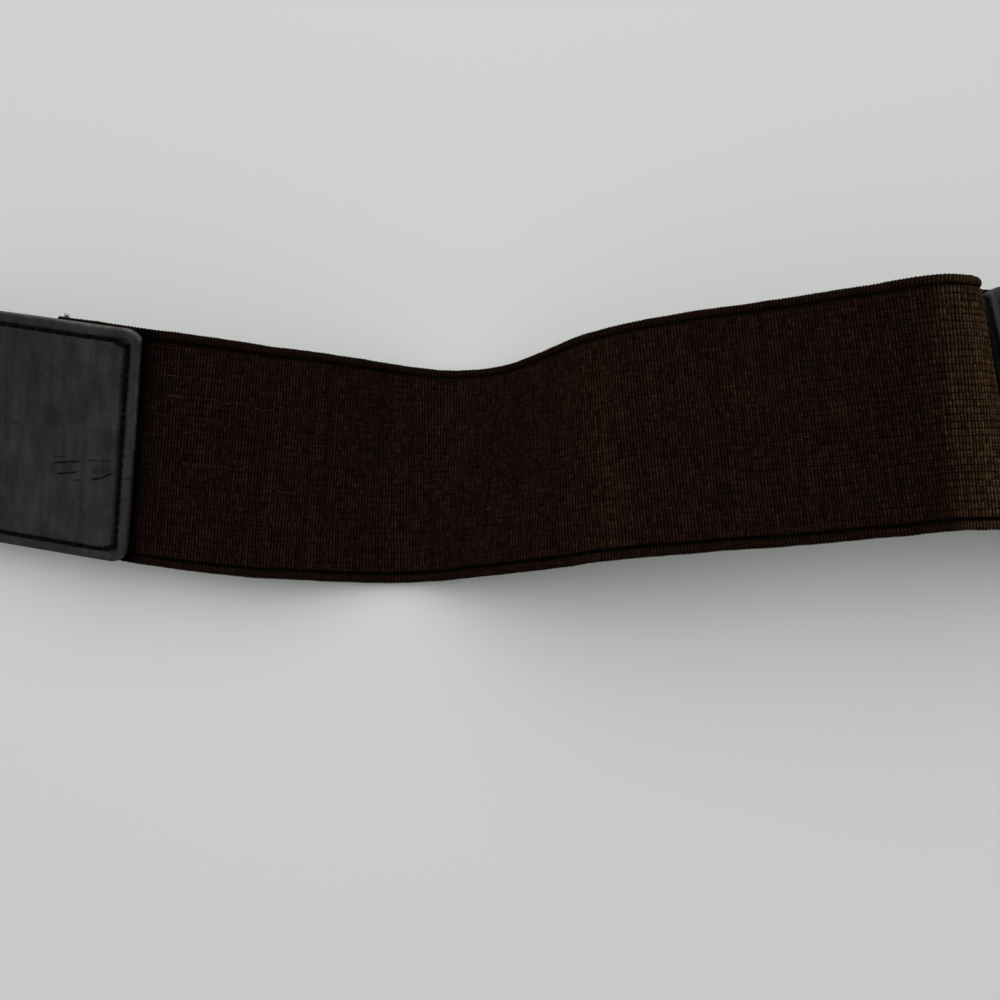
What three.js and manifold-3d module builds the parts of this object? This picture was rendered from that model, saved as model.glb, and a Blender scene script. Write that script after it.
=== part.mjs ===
// Stretch belt lying in waves on a table: a woven elastic panel between two leather arms.
// Millimetres, +Z up. The belt runs along X, the table is at z = 0, and the origin is under
// the middle of the whole belt.
import * as THREE from 'three'
import { mergeVertices } from 'three/addons/utils/BufferGeometryUtils.js'
import Module from 'manifold-3d'

// Elastic panel
const ELASTIC_WIDTH = 50
const ELASTIC_THICKNESS = 1.6
const SELVEDGE_WIDTH = 2
const GROOVE_WIDTH = 0.7
const GROOVE_DEPTH = 0.35
const SEWN_OVERLAP = 18

// Leather arms
const LEATHER_WIDTH = 49
const LEATHER_THICKNESS = 2.2
const LEATHER_CHAMFER = 0.4
const CORNER_RADIUS = 3.5
const LEFT_EDGE_SKEW = THREE.MathUtils.degToRad(0.8)
const SKEW_FADE = 25
const TIP_LENGTH = 26
const TIP_FLAT = 16

// How the belt lies: what each stretch covers on the table, and how far it leaves it
const ELASTIC_RUN = 174
const LEFT_DESCENT_RUN = 130
const RIGHT_DESCENT_RUN = 120
const LEFT_FLAT_RUN = 132
const RIGHT_FLAT_RUN = 165
const HUMP_RISE = 36
const ELASTIC_SWAY = 13
const LEFT_SWAY = 28
const RIGHT_SWAY = 5
const TWIST = THREE.MathUtils.degToRad(24)

// Buckle and the leather folded round its bar
const BAR_DIAMETER = 4
const BUCKLE_LENGTH = 38
const BUCKLE_RAIL = 5
const BUCKLE_THICKNESS = 3.5
const BUCKLE_CORNER = 8
const BUCKLE_BEVEL = 0.8
const PRONG_WIDTH = 4
const PRONG_THICKNESS = 2.4
const PRONG_OVERHANG = 2
const FOLD_RETURN = 42
const FOLD_RISE_RUN = 14
const SLOT_REACH = 12

// Punched holes
const HOLE_DIAMETER = 5
const HOLE_COUNT = 5
const HOLE_SPACING = 22
const FIRST_HOLE = 45

// Clearances
const SEAM_GAP = 0.3
const TABLE_GAP = 0.3
const BAR_CLEARANCE = 0.3
const BUCKLE_SIDE_CLEARANCE = 1.5
const PRONG_CLEARANCE = 1.2

// Fineness of the facets
const STEPS_PER_ROW = 3
const COLUMNS = 4
const CORNER_STEPS = 4
const FOLD_STEPS = 8
const RISE_STEPS = 5
const HOLE_SIDES = 20
const BAR_SIDES = 16
const ARC_DIVISIONS = 1500

// Each row is a place of the belt's middle: run is a share of the stretch's run from its inner
// end, side a share of its sway, rise a share of HUMP_RISE and lean a share of TWIST.
const LEFT_ROWS = [
  { run: 0.16, side: 0.105, rise: 0.56, lean: 0.95 },
  { run: 0.27, side: 0.22, rise: 0.42, lean: 0.72 },
  { run: 0.37, side: 0.345, rise: 0.32, lean: 0.45 },
  { run: 0.51, side: 0.50, rise: 0.18, lean: 0.15 },
  { run: 0.65, side: 0.64, rise: 0.06, lean: 0 },
  { run: 0.82, side: 0.81, rise: 0, lean: 0 },
  { run: 1.00, side: 0.99, rise: 0, lean: 0 },
  { run: 1.18, side: 1.17, rise: 0, lean: 0 },
]
const ELASTIC_ROWS = [
  { run: -0.03, side: 0.61, rise: 0.545, lean: 1 },
  { run: 0.051, side: 0.51, rise: 0.485, lean: 0.72 },
  { run: 0.141, side: 0.445, rise: 0.385, lean: 0.42 },
  { run: 0.205, side: 0.425, rise: 0.29, lean: 0.4 },
  { run: 0.255, side: 0.43, rise: 0.175, lean: 0.4 },
  { run: 0.305, side: 0.45, rise: 0.07, lean: 0.2 },
  { run: 0.354, side: 0.475, rise: 0.055, lean: -0.22 },
  { run: 0.404, side: 0.48, rise: 0.145, lean: -0.42 },
  { run: 0.449, side: 0.495, rise: 0.29, lean: -0.5 },
  { run: 0.494, side: 0.55, rise: 0.465, lean: -0.46 },
  { run: 0.548, side: 0.635, rise: 0.635, lean: -0.28 },
  { run: 0.628, side: 0.715, rise: 0.755, lean: -0.12 },
  { run: 0.712, side: 0.785, rise: 0.81, lean: -0.03 },
  { run: 0.792, side: 0.865, rise: 0.84, lean: 0.13 },
  { run: 0.862, side: 0.94, rise: 0.9, lean: 0.22 },
  { run: 0.905, side: 0.985, rise: 0.965, lean: 0.24 },
  { run: 0.935, side: 1, rise: 1.01, lean: 0.2 },
  { run: 0.965, side: 1.005, rise: 1.01, lean: 0.1 },
  { run: 0.989, side: 1.015, rise: 0.965, lean: 0 },
  { run: 0.997, side: 1.03, rise: 0.87, lean: 0 },
  { run: 1.004, side: 1.045, rise: 0.81, lean: 0 },
]
const RIGHT_ROWS = [
  { run: 0.04, side: 0.02, rise: 0.855, lean: 0 },
  { run: 0.11, side: 0.08, rise: 0.86, lean: 0.02 },
  { run: 0.20, side: 0.17, rise: 0.80, lean: 0.1 },
  { run: 0.33, side: 0.30, rise: 0.64, lean: 0.05 },
  { run: 0.47, side: 0.45, rise: 0.40, lean: 0 },
  { run: 0.60, side: 0.59, rise: 0.18, lean: 0 },
  { run: 0.72, side: 0.72, rise: 0.05, lean: 0 },
  { run: 0.85, side: 0.85, rise: 0, lean: 0 },
  { run: 1.00, side: 1.00, rise: 0, lean: 0 },
  { run: 1.15, side: 1.15, rise: 0, lean: 0 },
]

const elasticMaterial = new THREE.MeshStandardMaterial({ color: 0x2a1610, roughness: 0.95, metalness: 0 })
const leatherMaterial = new THREE.MeshStandardMaterial({ color: 0x34353a, roughness: 0.6, metalness: 0 })
const steelMaterial = new THREE.MeshStandardMaterial({ color: 0x8d8f92, roughness: 0.35, metalness: 1 })

const wasm = await Module()
wasm.setup()

// The surface that runs through the whole belt is the elastic's upper face. The leather lies
// SEAM_GAP above it, so where the leather lies on the table this surface is just below it.
const LYING_ELASTIC = ELASTIC_THICKNESS + TABLE_GAP
const LYING_LEATHER = -SEAM_GAP

function leftPlace(row) {
  return {
    x: -row.run * LEFT_DESCENT_RUN,
    y: ELASTIC_ROWS[0].side * ELASTIC_SWAY + row.side * LEFT_SWAY,
    z: row.rise * HUMP_RISE + LYING_LEATHER,
    lean: row.lean * TWIST,
  }
}

function elasticPlace(row) {
  return {
    x: row.run * ELASTIC_RUN,
    y: row.side * ELASTIC_SWAY,
    z: row.rise * HUMP_RISE + LYING_ELASTIC,
    lean: row.lean * TWIST,
  }
}

function rightPlace(row) {
  return {
    x: ELASTIC_RUN + row.run * RIGHT_DESCENT_RUN,
    y: ELASTIC_ROWS.at(-1).side * ELASTIC_SWAY + row.side * RIGHT_SWAY,
    z: row.rise * HUMP_RISE + LYING_LEATHER,
    lean: row.lean * TWIST,
  }
}

// A uniform cubic B-spline through the places, so that the belt bends without kinks
class BeltLine extends THREE.Curve {
  constructor(places) {
    super()
    this.places = places
    this.arcLengthDivisions = ARC_DIVISIONS
  }

  blend(t, key) {
    const spans = this.places.length - 3
    const span = Math.min(Math.floor(t * spans), spans - 1)
    const f = t * spans - span
    const weights = [(1 - f) ** 3, 3 * f ** 3 - 6 * f ** 2 + 4, -3 * f ** 3 + 3 * f ** 2 + 3 * f + 1, f ** 3]
    return weights.reduce((sum, weight, i) => sum + weight * this.places[span + i][key] / 6, 0)
  }

  getPoint(t, target = new THREE.Vector3()) {
    return target.set(this.blend(t, 'x'), this.blend(t, 'y'), this.blend(t, 'z'))
  }
}

const line = new BeltLine([
  ...LEFT_ROWS.map(leftPlace).reverse(),
  ...ELASTIC_ROWS.map(elasticPlace),
  ...RIGHT_ROWS.map(rightPlace),
])
const lineLength = line.getLength()
const UP = new THREE.Vector3(0, 0, 1)

// The length along the line at which it passes over the given x
function lengthAtX(x) {
  const points = line.getSpacedPoints(ARC_DIVISIONS)
  const next = points.findIndex((point) => point.x > x)
  const before = points[next - 1]
  const share = (x - before.x) / (points[next].x - before.x)
  return (next - 1 + share) * lineLength / ARC_DIVISIONS
}

// Place and directions on the belt at a length along the line. Past its ends the belt runs
// on straight and flat.
function frameAt(length) {
  const inside = THREE.MathUtils.clamp(length, 0, lineLength)
  const share = inside / lineLength
  const lean = line.blend(line.getUtoTmapping(share), 'lean')
  const along = line.getTangentAt(share)
  const level = new THREE.Vector3().crossVectors(UP, along).normalize()
  const across = level.clone().applyAxisAngle(along, lean)
  const up = new THREE.Vector3().crossVectors(along, across)
  const origin = line.getPointAt(share).addScaledVector(along, length - inside)
  return { origin, along, across, up }
}

function pointOn(frame, across, up) {
  return frame.origin.clone().addScaledVector(frame.across, across).addScaledVector(frame.up, up)
}

// A closed body through rings that all have the same number of corners
function loft(rings) {
  const corners = rings[0].length
  const positions = rings.flat().flatMap((point) => point.toArray())
  const index = []
  for (let ring = 0; ring < rings.length - 1; ring++) {
    for (let corner = 0; corner < corners; corner++) {
      const a = ring * corners + corner
      const b = ring * corners + (corner + 1) % corners
      index.push(a, b, b + corners, a, b + corners, a + corners)
    }
  }
  const last = (rings.length - 1) * corners
  for (const [a, b, c] of capFaces(rings[0])) {
    index.push(a, c, b)
    index.push(last + a, last + b, last + c)
  }
  const geometry = new THREE.BufferGeometry()
  geometry.setAttribute('position', new THREE.Float32BufferAttribute(positions, 3))
  geometry.setIndex(index)
  return geometry
}

// Triangles of a flat ring, found in its own plane
function capFaces(ring) {
  const side = ring.at(-1).clone().sub(ring[0])
  const farthest = ring.reduce((best, point) => (
    point.distanceTo(ring[0]) > best.distanceTo(ring[0]) ? point : best))
  const first = farthest.clone().sub(ring[0]).normalize()
  const normal = new THREE.Vector3().crossVectors(first, side).normalize()
  const second = new THREE.Vector3().crossVectors(normal, first)
  const flat = ring.map((point) => {
    const offset = point.clone().sub(ring[0])
    return new THREE.Vector2(offset.dot(first), offset.dot(second))
  })
  const order = THREE.ShapeUtils.isClockWise(flat) ? -1 : 1
  const faces = THREE.ShapeUtils.triangulateShape(flat, [])
  return faces.map(([a, b, c]) => (order > 0 ? [a, b, c] : [a, c, b]))
}

function toSolid(geometry) {
  const plain = geometry.clone()
  plain.deleteAttribute('normal')
  plain.deleteAttribute('uv')
  const merged = mergeVertices(plain, 1e-4)
  return new wasm.Manifold(new wasm.Mesh({
    numProp: 3,
    vertProperties: new Float32Array(merged.attributes.position.array),
    triVerts: new Uint32Array(merged.index.array),
  }))
}

function toGeometry(solid) {
  const mesh = solid.getMesh()
  const geometry = new THREE.BufferGeometry()
  geometry.setAttribute('position', new THREE.BufferAttribute(mesh.vertProperties, 3))
  geometry.setIndex(new THREE.BufferAttribute(mesh.triVerts, 1))
  return geometry
}

const leftEdge = lengthAtX(0)
const rightEdge = lengthAtX(ELASTIC_RUN)

// Lengths of the line's sections between two lengths, close together where the line bends
function sectionLengths(from, to) {
  const count = (line.places.length - 3) * STEPS_PER_ROW
  const arc = line.getLengths(count)
  const spacing = (to - from) / count
  const inner = arc.filter((length) => length > from + spacing / 2 && length < to - spacing / 2)
  return [from, ...inner, to]
}

// The elastic's section: a flat band, a groove and a corded selvedge on each edge. The upper
// face is at height 0.
function elasticSection() {
  const half = ELASTIC_WIDTH / 2
  const grooveOuter = half - SELVEDGE_WIDTH
  const grooveInner = grooveOuter - GROOVE_WIDTH
  const round = SELVEDGE_WIDTH / 3
  const rightTop = [
    [half - round, 0],
    [grooveOuter, 0],
    [(grooveOuter + grooveInner) / 2, -GROOVE_DEPTH],
    [grooveInner, 0],
  ]
  const rightBottom = rightTop.map(([across, up]) => [across, -ELASTIC_THICKNESS - up])
  const rightHalf = [...rightBottom.reverse(), [half, -ELASTIC_THICKNESS / 2], ...rightTop]
  const leftHalf = rightHalf.map(([across, up]) => [-across, up]).reverse()
  return [...rightHalf, ...leftHalf]
}

function makeElastic() {
  const section = elasticSection()
  const lengths = sectionLengths(leftEdge - SEWN_OVERLAP, rightEdge + SEWN_OVERLAP)
  return loft(lengths.map((length) => {
    const frame = frameAt(length)
    return section.map(([across, up]) => pointOn(frame, across, up))
  }))
}

// The leather's section for a half width, with chamfered edges, from its underside up
function leatherSection(halfWidth) {
  const chamfer = LEATHER_CHAMFER
  const top = LEATHER_THICKNESS
  const rightHalf = [
    [halfWidth - chamfer, 0],
    [halfWidth, chamfer],
    [halfWidth, top - chamfer],
    [halfWidth - chamfer, top],
  ]
  const leftHalf = rightHalf.map(([across, up]) => [-across, up]).reverse()
  const inner = Array.from({ length: COLUMNS - 1 }, (_, i) => (
    (halfWidth - chamfer) * (2 * (i + 1) / COLUMNS - 1)))
  const topFace = inner.map((across) => [-across, top])
  const underside = inner.map((across) => [across, 0])
  return [...rightHalf, ...topFace, ...leftHalf, ...underside]
}

// Distances from a rounded end and the half width of the leather there
function cornerSteps() {
  return Array.from({ length: CORNER_STEPS + 1 }, (_, i) => {
    const angle = i / CORNER_STEPS * Math.PI / 2
    return {
      distance: CORNER_RADIUS * (1 - Math.cos(angle)),
      halfWidth: LEATHER_WIDTH / 2 - CORNER_RADIUS * (1 - Math.sin(angle)),
    }
  })
}

// The leather lies on the belt's surface: a ring at a length, whose far side may run ahead
function leatherRing(length, halfWidth, skew = 0) {
  return leatherSection(halfWidth).map(([across, up]) => (
    pointOn(frameAt(length + across * skew), across, up + SEAM_GAP)))
}

function leftSkew(distance) {
  return Math.tan(LEFT_EDGE_SKEW) * Math.max(0, 1 - distance / SKEW_FADE)
}

// The end of the left arm in its own upright plane: out along the table, over its own return
// end, round the buckle's bar and back underneath. Heights are those of the leather's middle.
const FOLD_RADIUS = BAR_DIAMETER / 2 + BAR_CLEARANCE + LEATHER_THICKNESS / 2
const BAR_HEIGHT = FOLD_RADIUS + LEATHER_THICKNESS / 2
const LAYER_HEIGHTS = {
  table: LEATHER_THICKNESS / 2,
  second: LEATHER_THICKNESS * 1.5 + SEAM_GAP,
  bar: BAR_HEIGHT + FOLD_RADIUS,
}

function foldProfile() {
  const profile = []
  const returnEnd = LEFT_FLAT_RUN - FOLD_RETURN
  function rise(toRun, low, high) {
    for (let i = 0; i <= RISE_STEPS; i++) {
      const share = i / RISE_STEPS
      const lift = (1 - Math.cos(share * Math.PI)) / 2
      const slope = Math.atan((high - low) * Math.PI / 2 * Math.sin(share * Math.PI) / FOLD_RISE_RUN)
      profile.push({ run: toRun - FOLD_RISE_RUN * (1 - share), height: low + (high - low) * lift, slope })
    }
  }
  rise(returnEnd - SEAM_GAP, LAYER_HEIGHTS.table, LAYER_HEIGHTS.second)
  rise(LEFT_FLAT_RUN, LAYER_HEIGHTS.second, LAYER_HEIGHTS.bar)
  for (let i = 1; i <= FOLD_STEPS; i++) {
    const turn = i / FOLD_STEPS * Math.PI
    profile.push({
      run: LEFT_FLAT_RUN + FOLD_RADIUS * Math.sin(turn),
      height: BAR_HEIGHT + FOLD_RADIUS * Math.cos(turn),
      slope: -turn,
    })
  }
  profile.push({ run: returnEnd, height: LAYER_HEIGHTS.table, slope: -Math.PI })
  return profile
}

// Directions in the flat end of the left arm: outwards to the buckle, across, and up
const leftEnd = frameAt(0)
const outwards = leftEnd.along.clone().negate()
const tablePoint = leftEnd.origin.clone().setZ(0)

function foldRing({ run, height, slope }) {
  const direction = outwards.clone().multiplyScalar(Math.cos(slope)).addScaledVector(UP, Math.sin(slope))
  const origin = tablePoint.clone().addScaledVector(outwards, run).addScaledVector(UP, height)
  const up = new THREE.Vector3().crossVectors(leftEnd.across, direction.clone().negate()).negate()
  return leatherSection(LEATHER_WIDTH / 2).map(([across, level]) => (
    pointOn({ origin, across: leftEnd.across, up }, across, level - LEATHER_THICKNESS / 2)))
}

// A turned box or cylinder whose axes are the left arm's outwards, across and up directions
function atBuckle(geometry, run, height) {
  const matrix = new THREE.Matrix4().makeBasis(outwards, outwards.clone().cross(UP).negate(), UP)
  matrix.setPosition(tablePoint.clone().addScaledVector(outwards, run).addScaledVector(UP, height))
  return geometry.applyMatrix4(matrix)
}

function makeLeftArm() {
  const rings = cornerSteps().map(({ distance, halfWidth }) => (
    leatherRing(leftEdge - distance, halfWidth, leftSkew(distance))))
  const lengths = sectionLengths(0, leftEdge - CORNER_RADIUS).slice(0, -1).reverse()
  for (const length of lengths) {
    rings.push(leatherRing(length, LEATHER_WIDTH / 2, leftSkew(leftEdge - length)))
  }
  rings.push(...foldProfile().map(foldRing))
  const arm = toSolid(loft(rings.reverse()))
  const slotWidth = PRONG_WIDTH + 2 * PRONG_CLEARANCE
  const slotHeight = 4 * BAR_HEIGHT
  const slotLength = SLOT_REACH + 3 * FOLD_RADIUS
  const slotBox = new THREE.BoxGeometry(slotLength, slotWidth, slotHeight)
  const slotEnd = new THREE.CylinderGeometry(slotWidth / 2, slotWidth / 2, slotHeight, HOLE_SIDES)
  slotEnd.rotateX(Math.PI / 2)
  const slotStart = LEFT_FLAT_RUN - SLOT_REACH
  return toGeometry(arm
    .subtract(toSolid(atBuckle(slotBox, slotStart + slotLength / 2, BAR_HEIGHT)))
    .subtract(toSolid(atBuckle(slotEnd, slotStart, BAR_HEIGHT))))
}

// Half width of the tip at a distance from its end: a blunt point with rounded shoulders
function tipHalfWidth(distance) {
  const share = Math.min(distance / TIP_LENGTH, 1)
  return TIP_FLAT / 2 + (LEATHER_WIDTH - TIP_FLAT) / 2 * Math.sin(share * Math.PI / 2)
}

function makeRightArm() {
  const rings = cornerSteps().map(({ distance, halfWidth }) => leatherRing(rightEdge + distance, halfWidth))
  const lengths = sectionLengths(rightEdge + CORNER_RADIUS, lineLength).slice(1)
  rings.push(...lengths.map((length) => leatherRing(length, LEATHER_WIDTH / 2)))
  const tip = lineLength + RIGHT_FLAT_RUN
  for (let i = 2 * CORNER_STEPS; i >= 0; i--) {
    const distance = TIP_LENGTH * i / (2 * CORNER_STEPS)
    rings.push(leatherRing(tip - distance, tipHalfWidth(distance)))
  }
  let arm = toSolid(loft(rings))
  for (let i = 0; i < HOLE_COUNT; i++) {
    const drill = new THREE.CylinderGeometry(
      HOLE_DIAMETER / 2, HOLE_DIAMETER / 2, 4 * LEATHER_THICKNESS, HOLE_SIDES)
    const centre = frameAt(tip - FIRST_HOLE - i * HOLE_SPACING).origin
    drill.rotateX(Math.PI / 2).translate(centre.x, centre.y, centre.z)
    arm = arm.subtract(toSolid(drill))
  }
  return toGeometry(arm)
}

// The buckle in its own frame: X from the bar out to the far rail, Y across, Z up
function makeBuckle() {
  const window = LEATHER_WIDTH / 2 + BUCKLE_SIDE_CLEARANCE
  const outer = window + BUCKLE_RAIL
  const reach = BUCKLE_LENGTH + BUCKLE_RAIL / 2
  const innerReach = BUCKLE_LENGTH - BUCKLE_RAIL / 2
  const innerCorner = BUCKLE_CORNER - BUCKLE_RAIL
  const rail = new THREE.Shape()
  rail.moveTo(-BUCKLE_RAIL / 2, -outer)
  rail.lineTo(reach - BUCKLE_CORNER, -outer)
  rail.absarc(reach - BUCKLE_CORNER, -outer + BUCKLE_CORNER, BUCKLE_CORNER, -Math.PI / 2, 0)
  rail.absarc(reach - BUCKLE_CORNER, outer - BUCKLE_CORNER, BUCKLE_CORNER, 0, Math.PI / 2)
  rail.lineTo(-BUCKLE_RAIL / 2, outer)
  rail.lineTo(-BUCKLE_RAIL / 2, window)
  rail.absarc(innerReach - innerCorner, window - innerCorner, innerCorner, Math.PI / 2, 0, true)
  rail.absarc(innerReach - innerCorner, -window + innerCorner, innerCorner, 0, -Math.PI / 2, true)
  rail.lineTo(-BUCKLE_RAIL / 2, -window)
  const rails = new THREE.ExtrudeGeometry(rail, {
    depth: BUCKLE_THICKNESS - 2 * BUCKLE_BEVEL,
    bevelThickness: BUCKLE_BEVEL,
    bevelSize: BUCKLE_BEVEL,
    bevelOffset: -BUCKLE_BEVEL,
    bevelSegments: 2,
    curveSegments: CORNER_STEPS + 2,
  })
  rails.translate(0, 0, BUCKLE_BEVEL - BUCKLE_THICKNESS / 2)
  const bar = new THREE.CylinderGeometry(BAR_DIAMETER / 2, BAR_DIAMETER / 2, 2 * window + BUCKLE_RAIL, BAR_SIDES)
  return toGeometry(toSolid(rails).add(toSolid(bar)).add(toSolid(makeProng())))
}

// The prong: an upright outline that loops over the bar and lies down on the far rail
function makeProng() {
  const half = PRONG_THICKNESS / 2
  const railTop = BUCKLE_THICKNESS / 2
  const tip = BUCKLE_LENGTH + BUCKLE_RAIL / 2 + PRONG_OVERHANG
  const sink = 0.2
  const outline = new THREE.Shape()
  outline.moveTo(-BAR_DIAMETER / 2, 0)
  outline.absarc(0, 0, BAR_DIAMETER / 2, Math.PI, Math.PI * 2)
  outline.lineTo(BAR_DIAMETER, -half / 2)
  outline.lineTo(BUCKLE_LENGTH - BUCKLE_RAIL, railTop - sink)
  outline.lineTo(tip, railTop - sink)
  outline.absarc(tip, railTop - sink + half, half, -Math.PI / 2, Math.PI / 2)
  outline.lineTo(BUCKLE_LENGTH - BUCKLE_RAIL, railTop - sink + PRONG_THICKNESS)
  outline.lineTo(BAR_DIAMETER, half + BAR_DIAMETER / 4)
  outline.absarc(0, 0, BAR_DIAMETER / 2 + half, Math.PI / 3, Math.PI)
  const prong = new THREE.ExtrudeGeometry(outline, {
    depth: PRONG_WIDTH,
    bevelEnabled: false,
    curveSegments: CORNER_STEPS * 2,
  })
  return prong.rotateX(Math.PI / 2).translate(0, PRONG_WIDTH / 2, 0)
}

function makePart(name, geometry, material) {
  geometry.computeVertexNormals()
  const mesh = new THREE.Mesh(geometry, material)
  mesh.name = name
  return mesh
}

const group = new THREE.Group()
const belt = new THREE.Group()
belt.add(makePart('elastic_panel', makeElastic(), elasticMaterial))
belt.add(makePart('left_leather_arm', makeLeftArm(), leatherMaterial))
belt.add(makePart('right_leather_arm', makeRightArm(), leatherMaterial))

// The buckle hangs on its bar and rests its far rail on the table
const buckle = makePart('buckle', makeBuckle(), steelMaterial)
const buckleReach = BUCKLE_LENGTH + BUCKLE_RAIL / 2
const buckleDroop = Math.asin((BAR_HEIGHT - BUCKLE_THICKNESS / 2) / buckleReach)
buckle.geometry.rotateY(buckleDroop)
atBuckle(buckle.geometry, LEFT_FLAT_RUN, BAR_HEIGHT)
belt.add(buckle)

// The origin goes to the middle of the belt's outer box, on the table
const box = new THREE.Box3().setFromObject(belt)
const middle = box.getCenter(new THREE.Vector3())
belt.position.set(-middle.x, -middle.y, -box.min.z)
group.add(belt)

export default group
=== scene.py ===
import math

import bmesh
import bpy
import numpy as np
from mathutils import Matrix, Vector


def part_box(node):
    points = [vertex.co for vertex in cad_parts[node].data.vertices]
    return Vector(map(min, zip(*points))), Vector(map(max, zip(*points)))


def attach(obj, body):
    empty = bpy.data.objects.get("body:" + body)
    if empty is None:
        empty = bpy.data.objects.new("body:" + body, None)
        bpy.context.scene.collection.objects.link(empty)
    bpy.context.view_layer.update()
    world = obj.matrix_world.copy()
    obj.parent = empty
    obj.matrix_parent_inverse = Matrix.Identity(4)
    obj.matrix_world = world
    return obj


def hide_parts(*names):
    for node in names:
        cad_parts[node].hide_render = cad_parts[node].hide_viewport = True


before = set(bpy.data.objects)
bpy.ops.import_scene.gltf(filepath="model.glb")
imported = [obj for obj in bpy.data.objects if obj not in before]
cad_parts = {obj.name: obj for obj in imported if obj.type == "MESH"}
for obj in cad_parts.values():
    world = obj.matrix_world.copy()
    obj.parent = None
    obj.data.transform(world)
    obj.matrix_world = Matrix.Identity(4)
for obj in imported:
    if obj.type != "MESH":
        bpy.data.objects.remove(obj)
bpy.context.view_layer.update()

# Stretch belt lying in waves on a table. Lengths are millimetres until a mesh is made.
MM = 0.001

# Elastic panel
ELASTIC_WIDTH = 50
ELASTIC_THICKNESS = 1.6
SELVEDGE_WIDTH = 2
GROOVE_WIDTH = 0.7
SEWN_OVERLAP = 18
RIB_PITCH = 0.646
YARN_PITCH = 1.4

# Leather arms
LEATHER_WIDTH = 49
LEATHER_THICKNESS = 2.2
CORNER_RADIUS = 3.5
LEFT_EDGE_SKEW = math.radians(0.8)
SKEW_FADE = 25
TIP_LENGTH = 26
TIP_FLAT = 16
STITCH_INSET = 2.5
STITCH_PITCH = 4
THREAD_DIAMETER = 0.88

# How the belt lies, as the solids have it
ELASTIC_RUN = 174
LEFT_DESCENT_RUN = 130
RIGHT_DESCENT_RUN = 120
LEFT_FLAT_RUN = 132
RIGHT_FLAT_RUN = 165
HUMP_RISE = 36
ELASTIC_SWAY = 13
LEFT_SWAY = 28
RIGHT_SWAY = 5
TWIST = math.radians(24)
SEAM_GAP = 0.3
TABLE_GAP = 0.3

# Buckle and the leather folded round its bar
BAR_DIAMETER = 4
BAR_CLEARANCE = 0.3
BUCKLE_LENGTH = 38
BUCKLE_RAIL = 5
BUCKLE_THICKNESS = 3.5
BUCKLE_CORNER = 8
BUCKLE_SIDE_CLEARANCE = 1.5
PRONG_WIDTH = 4
PRONG_THICKNESS = 2.4
PRONG_OVERHANG = 2
PRONG_CLEARANCE = 1.2
FOLD_RETURN = 42
FOLD_RISE_RUN = 14
SLOT_REACH = 12

# Punched holes
HOLE_DIAMETER = 5
HOLE_COUNT = 5
HOLE_SPACING = 22
FIRST_HOLE = 45

# Camera: above the belt, leaning back a little, aimed at a point of the elastic's line
CAMERA_TILT = math.radians(10.1)
CAMERA_DISTANCE = 202.5
CAMERA_AIM = (75.6, 0, 1.9)
SENSOR = 36
FOCAL_SHARE = 0.8888

# Rows of the belt's middle line: run, side, rise, lean. Run is a share of the stretch's run
# from its inner end, side of its sway, rise of HUMP_RISE and lean of TWIST.
LEFT_ROWS = [
    (0.16, 0.105, 0.56, 0.95),
    (0.27, 0.22, 0.42, 0.72),
    (0.37, 0.345, 0.32, 0.45),
    (0.51, 0.50, 0.18, 0.15),
    (0.65, 0.64, 0.06, 0),
    (0.82, 0.81, 0, 0),
    (1.00, 0.99, 0, 0),
    (1.18, 1.17, 0, 0),
]
ELASTIC_ROWS = [
    (-0.03, 0.61, 0.545, 1),
    (0.051, 0.51, 0.485, 0.72),
    (0.141, 0.445, 0.385, 0.42),
    (0.205, 0.425, 0.29, 0.4),
    (0.255, 0.43, 0.175, 0.4),
    (0.305, 0.45, 0.07, 0.2),
    (0.354, 0.475, 0.055, -0.22),
    (0.404, 0.48, 0.145, -0.42),
    (0.449, 0.495, 0.29, -0.5),
    (0.494, 0.55, 0.465, -0.46),
    (0.548, 0.635, 0.635, -0.28),
    (0.628, 0.715, 0.755, -0.12),
    (0.712, 0.785, 0.81, -0.03),
    (0.792, 0.865, 0.84, 0.13),
    (0.862, 0.94, 0.9, 0.22),
    (0.905, 0.985, 0.965, 0.24),
    (0.935, 1, 1.01, 0.2),
    (0.965, 1.005, 1.01, 0.1),
    (0.989, 1.015, 0.965, 0),
    (0.997, 1.03, 0.87, 0),
    (1.004, 1.045, 0.81, 0),
]
RIGHT_ROWS = [
    (0.04, 0.02, 0.855, 0),
    (0.11, 0.08, 0.86, 0.02),
    (0.20, 0.17, 0.80, 0.1),
    (0.33, 0.30, 0.64, 0.05),
    (0.47, 0.45, 0.40, 0),
    (0.60, 0.59, 0.18, 0),
    (0.72, 0.72, 0.05, 0),
    (0.85, 0.85, 0, 0),
    (1.00, 1.00, 0, 0),
    (1.15, 1.15, 0, 0),
]

UP = np.array([0, 0, 1.0])
rng = np.random.default_rng(7)


def belt_places():
    """Spline points of the belt's middle: x, y, z and lean."""
    left_side = ELASTIC_ROWS[0][1] * ELASTIC_SWAY
    right_side = ELASTIC_ROWS[-1][1] * ELASTIC_SWAY
    lying_elastic = ELASTIC_THICKNESS + TABLE_GAP
    left = [(-run * LEFT_DESCENT_RUN, left_side + side * LEFT_SWAY, rise * HUMP_RISE - SEAM_GAP, lean * TWIST)
            for run, side, rise, lean in reversed(LEFT_ROWS)]
    middle = [(run * ELASTIC_RUN, side * ELASTIC_SWAY, rise * HUMP_RISE + lying_elastic, lean * TWIST)
              for run, side, rise, lean in ELASTIC_ROWS]
    right = [(ELASTIC_RUN + run * RIGHT_DESCENT_RUN, right_side + side * RIGHT_SWAY,
              rise * HUMP_RISE - SEAM_GAP, lean * TWIST)
             for run, side, rise, lean in RIGHT_ROWS]
    return np.array(left + middle + right)


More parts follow.
